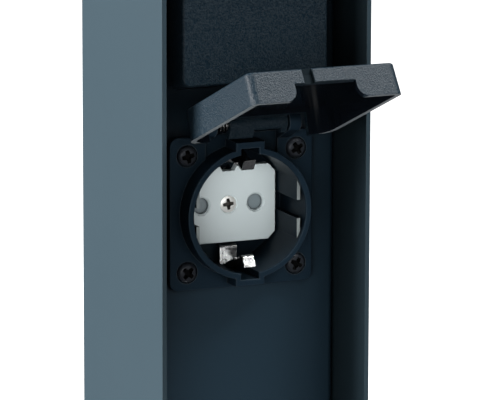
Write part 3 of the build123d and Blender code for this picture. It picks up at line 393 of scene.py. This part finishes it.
finishes = {
    # roughness: low, high; bump: strength, depth; edge: colour, radius, amount of the painted
    # highlight;
    # the painted shade in hollows: reach, amount; round: radius of the shaded edges; lengths are in
    # metres
    "columnCoat": {
        "colour": (0.0116, 0.0204, 0.0262), "shade": (0.0122, 0.0215, 0.0275),
        "roughness": (0.40, 0.52), "specular": 0.08, "grainSize": 0.00045,
        "bump": (0.35, 0.00006), "patch": 0.05, "edge": ((0.03, 0.042, 0.051), 0.0003, 0.35),
        "round": 0.0004, "paintedShade": (0.07, 0.8),
    },
    # painted shade: a darker, bluer copy of the column's coat, for the shade inside the recess
    "panelCoat": {
        "colour": (0.0074, 0.0162, 0.0245), "shade": (0.0079, 0.0172, 0.0256),
        "roughness": (0.24, 0.34), "specular": 0.08, "grainSize": 0.00045,
        "bump": (0.18, 0.00006), "patch": 0.05, "edge": ((0.03, 0.042, 0.051), 0.0003, 0.35),
        "round": 0.0004, "paintedShade": (0.03, 0.8),
    },
    "lidTexture": {
        "colour": (0.0003, 0.0040, 0.0078), "shade": (0.0006, 0.0045, 0.0084),
        "roughness": (0.36, 0.46), "specular": 0.067, "grainSize": 0.0005,
        "bump": (0.9, 0.00024), "patch": 0.02, "coarseShare": 0.2,
        "fleck": (0.0090, 0.0140, 0.0180), "edge": ((0.02, 0.026, 0.03), 0.0003, 0.3),
        "round": 0.0003,
    },
    "lidGloss": {
        "colour": (0.0012, 0.0020, 0.0032), "shade": (0.0016, 0.0024, 0.0036),
        "roughness": (0.10, 0.18), "specular": 0.05, "grainSize": 0.004,
        "bump": (0.05, 0.00003), "patch": 0.015,
    },
    # painted light: the rim face that meets the flange is far lighter than the lid, as if lit from
    # below
    "lidRimPaintedLight": {
        "colour": (0.10, 0.113, 0.123), "shade": (0.088, 0.1, 0.108),
        "roughness": (0.35, 0.45), "specular": 0.4, "grainSize": 0.0006,
        "bump": (0.3, 0.00004), "patch": 0.01,
    },
    # painted highlight: a light colour on the guide walls' front edges
    "guideEdgeHighlight": {
        "colour": (0.125, 0.145, 0.145), "shade": (0.115, 0.133, 0.133),
        "roughness": (0.3, 0.4), "specular": 0.4, "grainSize": 0.0006,
        "bump": (0.2, 0.00003), "patch": 0.01,
    },
    "grooveGrip": {
        "colour": (0.0022, 0.0042, 0.0056), "shade": (0.0027, 0.0048, 0.0062),
        "roughness": (0.7, 0.8), "specular": 0.02, "grainSize": 0.0005,
        "bump": (0.4, 0.00006), "patch": 0.01,
    },
    "socketBlack": {
        "colour": (0.0040, 0.0090, 0.0148), "shade": (0.0044, 0.0096, 0.0156),
        "roughness": (0.34, 0.46), "specular": 0.06, "specularTint": (0.6, 0.85, 1.0),
        "grainSize": 0.0004, "bump": (0.25, 0.00004), "patch": 0.015,
        "edge": ((0.09, 0.105, 0.115), 0.0003, 0.7), "round": 0.0002, "paintedShade": (0.02, 0.7),
    },
    "springSteel": {
        "colour": (0.12, 0.12, 0.12), "shade": (0.09, 0.09, 0.09), "roughness": (0.2, 0.32),
        "metallic": 1.0, "grainSize": 0.0004, "bump": (0.08, 0.00002), "patch": 0.003,
    },
    "insertGrey": {
        "colour": (0.47, 0.535, 0.545), "shade": (0.45, 0.515, 0.525),
        "roughness": (0.38, 0.5), "specular": 0.45, "grainSize": 0.0006,
        "bump": (0.15, 0.00004), "patch": 0.01, "round": 0.0002,
    },
    "shutterGrey": {
        "colour": (0.145, 0.185, 0.20), "shade": (0.135, 0.17, 0.185),
        "roughness": (0.35, 0.45), "grainSize": 0.0006, "bump": (0.12, 0.00004),
        "round": 0.0002, "paintedShade": (0.0030, 0.85),
    },
    "blackZinc": {
        "colour": (0.0110, 0.0130, 0.0165), "shade": (0.0125, 0.0148, 0.0185),
        "roughness": (0.30, 0.44), "metallic": 0.3, "specular": 0.15, "grainSize": 0.0003,
        "bump": (0.15, 0.00003), "patch": 0.003,
        "edge": ((0.06, 0.062, 0.066), 0.00012, 0.5), "round": 0.00012,
    },
    "brightSteel": {
        "colour": (0.35, 0.355, 0.35), "shade": (0.20, 0.205, 0.21),
        "roughness": (0.16, 0.3), "metallic": 1.0, "grainSize": 0.0011,
        "bump": (0.6, 0.0002), "patch": 0.004, "round": 0.0002,
    },
    # painted shade: the cross recesses of the screws are coloured far darker than their heads
    "recessShadeBlack": {
        "colour": (0.0006, 0.0007, 0.0008), "shade": (0.0008, 0.0009, 0.001),
        "roughness": (0.6, 0.7), "specular": 0.05, "grainSize": 0.0003,
        "bump": (0.1, 0.00002),
    },
    "recessShadeSteel": {
        "colour": (0.075, 0.07, 0.06), "shade": (0.06, 0.055, 0.05),
        "roughness": (0.4, 0.5), "metallic": 0.8, "grainSize": 0.0003,
        "bump": (0.1, 0.00002),
    },
    "screwSteel": {
        "colour": (0.78, 0.79, 0.76), "shade": (0.70, 0.71, 0.68), "roughness": (0.3, 0.42),
        "metallic": 0.55, "grainSize": 0.0004, "bump": (0.1, 0.00002), "patch": 0.003,
        "round": 0.00008,
    },
    "zincSheet": {
        "colour": (0.55, 0.56, 0.57), "shade": (0.47, 0.48, 0.5), "roughness": (0.34, 0.5),
        "metallic": 1.0, "grainSize": 0.0012, "bump": (0.12, 0.00004), "patch": 0.008,
        "round": 0.0003,
    },
    "sleeveBrass": {
        "colour": (0.66, 0.50, 0.24), "shade": (0.58, 0.43, 0.2), "roughness": (0.25, 0.38),
        "metallic": 1.0, "grainSize": 0.0005, "bump": (0.1, 0.00003), "patch": 0.004,
        "round": 0.0001,
    },
    "softRubber": {
        "colour": (0.012, 0.012, 0.013), "shade": (0.018, 0.018, 0.019),
        "roughness": (0.6, 0.78), "specular": 0.3, "grainSize": 0.0005,
        "bump": (0.3, 0.00005), "patch": 0.006, "round": 0.0003,
    },
    "blockPlastic": {
        "colour": (0.62, 0.62, 0.6), "shade": (0.58, 0.58, 0.56), "roughness": (0.4, 0.52),
        "grainSize": 0.0006, "bump": (0.15, 0.00004), "round": 0.0003,
    },
}
wireColours = {
    "liveSheath": (0.16, 0.06, 0.025),
    "neutralSheath": (0.03, 0.10, 0.42),
    "earthSheath": (0.30, 0.42, 0.03),
}
wireShade = 0.9
for sheathName, sheathColour in wireColours.items():
    finishes[sheathName] = {
        "colour": sheathColour, "shade": tuple(wireShade * c for c in sheathColour),
        "roughness": (0.34, 0.46), "grainSize": 0.0008, "bump": (0.1, 0.00004),
    }
materials = {name: makeFinish(name, finish) for name, finish in finishes.items()}
print("materials made,", len(materials))


# Finishes of the CAD nodes

nodeFinish = (
    # part of the node's name, finish: the first that fits counts, and the last fits all
    ("column_profile", "columnCoat"), ("top_cap", "columnCoat"), ("socket_panel", "panelCoat"),
    ("mounting_foot", "zincSheet"), ("grommet", "softRubber"), ("gasket", "softRubber"),
    ("terminal_clamp_screws", "zincSheet"), ("terminal_clamps", "sleeveBrass"),
    ("terminal_block", "blockPlastic"), ("block_screws", "zincSheet"),
    ("contact_screws", "zincSheet"), ("insert_screw", "brightSteel"), ("screws", "blackZinc"),
    ("lid_spring", "springSteel"), ("shutter_spring", "springSteel"),
    ("hinge_pin", "brightSteel"), ("earth_strap", "brightSteel"), ("contacts", "sleeveBrass"),
    ("housing", "socketBlack"), ("rear_body", "socketBlack"), ("insert", "insertGrey"),
    ("shutter", "shutterGrey"), ("live_wires", "liveSheath"),
    ("neutral_wires", "neutralSheath"), ("earth_wires", "earthSheath"), ("lid", "lidTexture"),
    ("", "zincSheet"),
)
for nodeName, node in frame["nodes"].items():
    finishName = next(finish for part, finish in nodeFinish if part in nodeName)
    node.data.materials.clear()
    node.data.materials.append(materials[finishName])

squareOn = 0.95     # a face looks along an axis where its normal's part on it passes this

lidShell = {
    # the hollow of a closed lid, measured from its hinge axis: X across, Y inwards, Z up
    "halfWidth": 0.0236, "nearEdge": -0.0058, "middle": (0, 0.003, -0.033), "rimPlace": 0.0052,
    # the grip groove: its sides across the skirt, the height it starts below, and its depth
    "groove": (-0.0068, -0.0034), "grooveTop": -0.0575, "grooveInner": 0.0045,
}


def polishInside(lidName, shell):
    # Finishes inside the lid and in its groove, and the painted light on its rim, found on the lid
    # turned shut
    lid = frame["nodes"][lidName]
    joint = next(j for j in frame["joints"] if j["child"] == lidName)
    hinge = Vector(joint["pos_m"])
    shut = Matrix.Rotation(radians(-joint["range_deg"][0]), 3, "X")
    middle = Vector(shell["middle"])
    grooveLeft, grooveRight = shell["groove"]
    for finishName in ("lidGloss", "grooveGrip", "lidRimPaintedLight"):
        lid.data.materials.append(materials[finishName])
    for face in lid.data.polygons:
        place = shut @ (face.center - hinge)
        facing = shut @ face.normal
        inShell = place.z < shell["nearEdge"]
        # the rim face gets the painted light
        if facing.y > squareOn and place.y > shell["rimPlace"] and inShell:
            face.material_index = 3
        elif inShell and abs(place.x) < shell["halfWidth"] and facing.dot(middle - place) > 0:
            face.material_index = 1
        elif (grooveLeft < place.x < grooveRight and place.z < shell["grooveTop"]
              and place.y < shell["grooveInner"]):
            face.material_index = 2


guideFront = {"depth": -0.0199, "tolerance": 0.0001, "inner": 0.0169, "outer": 0.0182}


def paintGuideHighlights(housing, setup):
    # Painted highlight on the front edges of the guide walls in the well
    housing.data.materials.append(materials["guideEdgeHighlight"])
    for face in housing.data.polygons:
        place = housing.matrix_world @ face.center
        atFront = abs(place.y - setup["depth"]) < setup["tolerance"]
        if face.normal.y < -squareOn and atFront and setup["inner"] < abs(place.x) < setup["outer"]:
            face.material_index = 1


for level in levels:
    polishInside(level + "_lid", lidShell)
    paintGuideHighlights(frame["nodes"][level + "_housing"], guideFront)
print("nodes finished")


# Fasteners and springs, shaped to the boxes of the CAD solids they stand for

def solidBoxes(node):
    # World boxes of the separate solids in one CAD node
    shape = bmesh.new()
    shape.from_mesh(node.data)
    shape.transform(node.matrix_world)
    bmesh.ops.remove_doubles(shape, verts=shape.verts, dist=1e-6)
    shape.verts.index_update()
    boxes, seen = [], set()
    for first in shape.verts:
        if first.index in seen:
            continue
        seen.add(first.index)
        reached, queue = [], [first]
        while queue:
            vert = queue.pop()
            reached.append(vert.co)
            for edge in vert.link_edges:
                other = edge.other_vert(vert)
                if other.index not in seen:
                    seen.add(other.index)
                    queue.append(other)
        low = Vector([min(co[i] for co in reached) for i in range(3)])
        high = Vector([max(co[i] for co in reached) for i in range(3)])
        boxes.append((low, high))
    shape.free()
    return boxes


def ringOf(shape, radius, height, segments, wave=None):
    # Ring round Z, or a single point where the radius is 0
    if radius == 0:
        return [shape.verts.new((0, 0, height))]
    ring = []
    for k in range(segments):
        angle = 2 * pi * k / segments
        r, z = (radius, height) if wave is None else wave(angle, radius, height)
        ring.append(shape.verts.new((r * cos(angle), r * sin(angle), z)))
    return ring


def joinRings(shape, rings):
    for lower, upper in zip(rings, rings[1:]):
        count = max(len(lower), len(upper))
        for k in range(count):
            after = (k + 1) % count
            if len(lower) == 1:
                shape.faces.new((lower[0], upper[after], upper[k]))
            elif len(upper) == 1:
                shape.faces.new((lower[k], lower[after], upper[0]))
            else:
                shape.faces.new((lower[k], lower[after], upper[after], upper[k]))


def addTurned(shape, profile, segments=48):
    # Solid turned about Z through (radius, height) points, from the bottom up
    joinRings(shape, [ringOf(shape, radius, height, segments) for radius, height in profile])


threadForm = {"segments": 24, "rowsPerPitch": 6, "pointShare": 0.72, "pointRise": 0.28}


def addThread(shape, setup, top, bottom):
    # Threaded rod between two heights, with a run-out at the top and a lead-in point
    radius, pitch, depth = setup["shankRadius"], setup["pitch"], setup["threadDepth"]
    segments = threadForm["segments"]
    rows = round((top - bottom) / pitch * threadForm["rowsPerPitch"])
    rings = [ringOf(shape, 0, bottom, segments)]
    for row in range(rows + 1):
        height = bottom + (top - bottom) * row / rows
        rise = threadForm["pointRise"] * (height - bottom) / pitch
        point = min(1.0, threadForm["pointShare"] + rise)
        runOut = min(1.0, (top - height) / pitch)

        def groove(angle, r, z, point=point, runOut=runOut):
            turn = (z / pitch - angle / (2 * pi)) % 1
            return point * r - runOut * depth * abs(2 * turn - 1), z

        rings.append(ringOf(shape, radius, height, segments, groove))
    rings.append(ringOf(shape, 0, top, segments))
    joinRings(shape, rings)


def smoothed(mesh, sharp=35):
    # Smooth shading up to an angle in degrees
    mesh.shade_smooth()
    mesh.set_sharp_from_angle(angle=radians(sharp))
    return mesh


def meshFrom(shape, name, sharp=35):
    bmesh.ops.recalc_face_normals(shape, faces=shape.faces)
    mesh = bpy.data.meshes.new(name)
    shape.to_mesh(mesh)
    shape.free()
    return smoothed(mesh, sharp)


def carved(solid, cutter):
    # The first mesh less the second one's volume; the cut faces take the second finish
    for mesh in (solid, cutter):
        mesh.materials.append(None)
        mesh.materials.append(None)
    for face in cutter.polygons:
        face.material_index = 1
    kept = bpy.data.objects.new("kept", solid)
    taken = bpy.data.objects.new("taken", cutter)
    for thing in (kept, taken):
        scene.collection.objects.link(thing)
    cut = kept.modifiers.new("cut", "BOOLEAN")
    cut.operation, cut.solver, cut.object = "DIFFERENCE", "EXACT", taken
    graph = bpy.context.evaluated_depsgraph_get()
    result = bpy.data.meshes.new_from_object(kept.evaluated_get(graph))
    for thing in (kept, taken):
        bpy.data.objects.remove(thing)
    return smoothed(result)


crossForm = {
    # shares of the recess's reach and half width, at its floor and at its mouth
    "floor": (0.42, 0.75), "mouth": (1.06, 1.04), "innerCorner": 1.35, "sharp": 20,
    "clear": 0.0001,        # how far the cutter stands out of the head
}


def crossCutter(setup, headTop):
    # Phillips recess: a four-armed outline that narrows towards its bottom
    shape = bmesh.new()
    rings = []
    inner = crossForm["innerCorner"]
    for height, (reachShare, wingShare) in ((headTop - setup["recessDepth"], crossForm["floor"]),
                                            (headTop + crossForm["clear"], crossForm["mouth"])):
        arm, half = setup["recessReach"] * reachShare, setup["recessWing"] * wingShare
        ring = []
        for quarter in range(4):
            turn = Matrix.Rotation(quarter * pi / 2, 3, "Z")
            for x, y in ((arm, -half), (arm, half), (half * inner, half * inner)):
                ring.append(shape.verts.new(turn @ Vector((x, y, height))))
        rings.append(ring)
    joinRings(shape, rings)
    shape.faces.new(rings[0][::-1])
    shape.faces.new(rings[1])
    return meshFrom(shape, "cross", crossForm["sharp"])


shankOverlap = 0.0002       # how far a shank reaches into its head

panScrew = {
    "headRadius": 0.00325, "headHeight": 0.0020, "headRound": 0.0013, "crown": 0.00012,
    "recessReach": 0.00225, "recessWing": 0.0006, "recessDepth": 0.0014,
    "shankRadius": 0.00198, "pitch": 0.0007, "threadDepth": 0.0003,
}
smallScrew = {
    # head only, as its shank is inside the block
    "headRadius": 0.0024, "headHeight": 0.0015, "headRound": 0.0009, "crown": 0.0001,
    "recessReach": 0.0013, "recessWing": 0.00038, "recessDepth": 0.001,
}
panForm = {"seatChamfer": 0.00012, "leastSide": 0.0002, "roundSteps": 7}


def headProfile(setup):
    # Half section of a pan head from its seat to its crown
    radius, height, corner = setup["headRadius"], setup["headHeight"], setup["headRound"]
    chamfer, steps = panForm["seatChamfer"], panForm["roundSteps"]
    side = height - setup["crown"] - corner
    profile = [(0, 0), (radius - chamfer, 0), (radius, chamfer),
               (radius, max(side, panForm["leastSide"]))]
    for step in range(1, steps + 1):
        angle = step / steps * pi / 2
        profile.append((radius - corner * (1 - cos(angle)), side + corner * sin(angle)))
    profile.append((0.0, height))
    return profile


def makePanScrew(setup, length):
    # Origin on top of the head's seat, head towards +Z
    head = bmesh.new()
    addTurned(head, headProfile(setup))
    screw = carved(meshFrom(head, "head"), crossCutter(setup, setup["headHeight"]))
    if "shankRadius" in setup:
        shape = bmesh.new()
        shape.from_mesh(screw)
        addThread(shape, setup, shankOverlap, -length)
        screw = meshFrom(shape, "screw")
    return screw


sunkScrew = {
    "headRadius": 0.00285, "headHeight": 0.0014, "crown": 0.00015,
    "coneEdge": 0.0002, "rimEdge": 0.00008, "rimChamfer": 0.0001,
    "crownShoulder": (0.5, 0.7),        # shares of the head's radius and of its crown
    "recessReach": 0.0019, "recessWing": 0.00048, "recessDepth": 0.0012,
    "shankRadius": 0.00143, "pitch": 0.0005, "threadDepth": 0.0002,
}


def makeSunkScrew(setup, length):
    # Countersunk: origin at the bottom of the cone, head towards +Z
    radius, height, crown = setup["headRadius"], setup["headHeight"], setup["crown"]
    radiusShare, crownShare = setup["crownShoulder"]
    head = bmesh.new()
    addTurned(head, [(0, 0), (setup["shankRadius"], 0), (radius, height - setup["coneEdge"]),
                     (radius, height - setup["rimEdge"]), (radius - setup["rimChamfer"], height),
                     (radius * radiusShare, height + crown * crownShare), (0, height + crown)])
    shape = bmesh.new()
    shape.from_mesh(carved(meshFrom(head, "head"), crossCutter(setup, height + crown)))
    addThread(shape, setup, shankOverlap, -length)
    return meshFrom(shape, "screw")


slottedScrew = {
    "radius": 0.00148, "slotWidth": 0.0005, "slotDepth": 0.0007, "chamfer": 0.0002,
    "slotLength": 0.00444, "bodyRing": 0.0012,
}


def makeSlotted(setup, length):
    # Headless set screw with a slot, its driven end at the origin
    radius, chamfer = setup["radius"], setup["chamfer"]
    body = bmesh.new()
    addTurned(body, [(0, -length), (radius - chamfer, -length), (radius, chamfer - length),
                     (radius, -setup["bodyRing"]), (radius, -chamfer), (radius - chamfer, 0),
                     (0, 0)])
    slot = bmesh.new()
    bmesh.ops.create_cube(slot, size=1.0)
    slotSize = (setup["slotLength"], setup["slotWidth"], setup["slotDepth"] * 2, 1)
    slot.transform(Matrix.Diagonal(slotSize))
    return carved(meshFrom(body, "body"), meshFrom(slot, "slot"))


hexNut = {
    "acrossFlats": 0.007, "bore": 0.00205, "boreChamfer": 0.0003, "segments": 72, "sharp": 25,
    "slope": 0.55, "slopeFrom": 1.054,      # where the corners slope, over half the flats
    "faceShare": 0.97, "faceEdge": 0.0001,
}


def makeNut(setup, height):
    # Hexagon nut whose ends are turned off at the corners, seat at the origin
    def hexagon(angle, r, z):
        apart = (angle + pi / 6) % (pi / 3) - pi / 6
        reach = r / cos(apart)
        drop = max(0.0, reach - r * setup["slopeFrom"]) * setup["slope"]
        return reach, z - drop if z > height / 2 else z + drop

    flat, edge = setup["acrossFlats"] / 2, setup["faceEdge"]
    bore, lead, face = setup["bore"], setup["boreChamfer"], flat * setup["faceShare"]
    shape = bmesh.new()
    rings = [ringOf(shape, radius, z, setup["segments"], wave) for radius, z, wave in (
        (bore, lead, None), (bore + lead, 0, None), (face, 0, None), (flat, edge, hexagon),
        (flat, height - edge, hexagon), (face, height, None), (bore + lead, height, None),
        (bore, height - lead, None))]
    joinRings(shape, rings + rings[:1])
    return meshFrom(shape, "nut", setup["sharp"])


earthStud = {
    "shankRadius": 0.00198, "pitch": 0.0007, "threadDepth": 0.0003,
    "flangeRadius": 0.003, "flangeThickness": 0.001,
    # shares of the flange: its straight side, the radius of its face, and what the rod enters
    "flangeSide": 0.8, "flangeFace": 0.93, "rodStart": 0.5,
}


def makeStud(setup, length):
    # Welded stud: a flange on the wall and a threaded rod
    radius, thickness = setup["flangeRadius"], setup["flangeThickness"]
    halfTurn = Matrix.Rotation(pi, 4, "X")
    shape = bmesh.new()
    addTurned(shape, [(0, 0), (radius, 0), (radius, thickness * setup["flangeSide"]),
                      (radius * setup["flangeFace"], thickness), (0, thickness)])
    shape.transform(halfTurn)
    addThread(shape, setup, -thickness * setup["rodStart"], -length)
    shape.transform(halfTurn)
    return meshFrom(shape, "stud")


def showInstead(nodeName, shape, finishNames):
    # The detailed object that is shown in place of a CAD node
    mesh = meshFrom(shape, nodeName + "Detail")
    for finishName in finishNames:
        mesh.materials.append(materials[finishName])
    thing = bpy.data.objects.new(nodeName + "Detail", mesh)
    scene.collection.objects.link(thing)
    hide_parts(nodeName)
    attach(thing, "post")
    return thing


screwSpins = (31, 62, 12, 48)       # degrees, so that no two neighbours stand alike
insertSpin = (6,)


def standIn(nodeName, make, setup, outward, finishNames, seatDrop, spins=screwSpins):
    # One object for all solids of a CAD node: outward gives the driven end's direction
    shape = bmesh.new()
    for index, (low, high) in enumerate(solidBoxes(frame["nodes"][nodeName])):
        centre = (low + high) / 2
        axis = outward(centre)
        span = abs((high - low).dot(axis))
        piece = make(setup, span - seatDrop)
        top = centre + axis * (span / 2 - seatDrop)
        turn = axis.to_track_quat("Z", "Y").to_matrix().to_4x4()
        spin = Matrix.Rotation(radians(spins[index % len(spins)]), 4, "Z")
        piece.transform(Matrix.Translation(top) @ turn @ spin)
        shape.from_mesh(piece)
        bpy.data.meshes.remove(piece)
    showInstead(nodeName, shape, finishNames)


def toFront(centre):
    return Vector((0, -1, 0))


def toBack(centre):
    return Vector((0, 1, 0))


def toSide(centre):
    return Vector((1 if centre.x > 0 else -1, 0, 0))


def toMiddle(centre):
    return Vector((-1 if centre.x > 0 else 1, 0, 0))


# Finishes of a fastener and of the faces cut into it; the dark recess finishes paint the shade in
# the cross recesses
blackHead, steelHead = ("blackZinc", "recessShadeBlack"), ("screwSteel", "recessShadeSteel")
zinc = ("zincSheet", "zincSheet")
for screwNode, screwAxis in (("panel_screws", toSide), ("foot_screws", toSide),
                             ("cap_screws", toBack), ("lower_flange_screws", toFront),
                             ("upper_flange_screws", toFront)):
    standIn(screwNode, makePanScrew, panScrew, screwAxis, blackHead,
            panScrew["headHeight"])
for level in levels:
    standIn(level + "_insert_screw", makeSunkScrew, sunkScrew, toFront, steelHead,
            sunkScrew["headHeight"] + sunkScrew["crown"], insertSpin)
    standIn(level + "_contact_screws", makeSlotted, slottedScrew, toBack, zinc, 0.0)
    standIn(level + "_flange_nuts", makeNut, hexNut, toBack, zinc, 0.0)
standIn("terminal_clamp_screws", makeSlotted, slottedScrew, toFront, zinc, 0.0)
standIn("block_screws", makePanScrew, smallScrew, toFront, zinc,
        smallScrew["headHeight"])
standIn("panel_nuts", makeNut, hexNut, toMiddle, zinc, 0.0)
standIn("earth_nut", makeNut, hexNut, toFront, zinc, 0.0)
standIn("earth_stud", makeStud, earthStud, toFront, zinc, 0.0)
print("fasteners made")

shutterSpring = {
    "turns": 4, "closedTurns": 0.5, "closedPitch": 0.0004, "wireRadius": 0.000175,
    "steps": 28, "sides": 10, "keep": 0.19,
}


def springLine(setup, radius, start, length):
    # Centre line of a coil with closed ends, from its lowest point up
    turns, closed, closedPitch = setup["turns"], setup["closedTurns"], setup["closedPitch"]
    openRise = length - 2 * closed * closedPitch
    centres = []
    for step in range(turns * setup["steps"] + 1):
        turn = step / setup["steps"]
        share = min(max((turn - closed) / (turns - 2 * closed), 0), 1)
        closedRise = closedPitch * (min(turn, closed) + max(turn - turns + closed, 0))
        angle = 2 * pi * turn
        centres.append(start + Vector((radius * cos(angle), radius * sin(angle),
                                       share * openRise + closedRise)))
    return centres


def makeShutterSpring(level, setup):
    # Compression spring at the length of its CAD node; the real one shortens as its shutter slides
    # up
    nodeName = level + "_shutter_spring"
    low, high = solidBoxes(frame["nodes"][nodeName])[0]
    wire = setup["wireRadius"]
    start = Vector(((low.x + high.x) / 2, (low.y + high.y) / 2, low.z + wire))
    radius = (high.x - low.x) / 2 - wire
    centres = springLine(setup, radius, start, high.z - low.z - 2 * wire)
    shape = bmesh.new()
    rings = []
    for index, centre in enumerate(centres):
        along = centres[min(index + 1, len(centres) - 1)] - centres[max(index - 1, 0)]
        outward = Vector((centre.x - start.x, centre.y - start.y, 0)).normalized()
        across = along.cross(outward).normalized()
        angles = [2 * pi * k / setup["sides"] for k in range(setup["sides"])]
        rings.append([shape.verts.new(centre + wire * (cos(angle) * outward + sin(angle) * across))
                      for angle in angles])
    joinRings(shape, rings)
    shape.faces.new(rings[0])
    shape.faces.new(rings[-1])
    thing = showInstead(nodeName, shape, ("springSteel",))
    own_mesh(thing)


for level in levels:
    makeShutterSpring(level, shutterSpring)
print("shutter springs made")
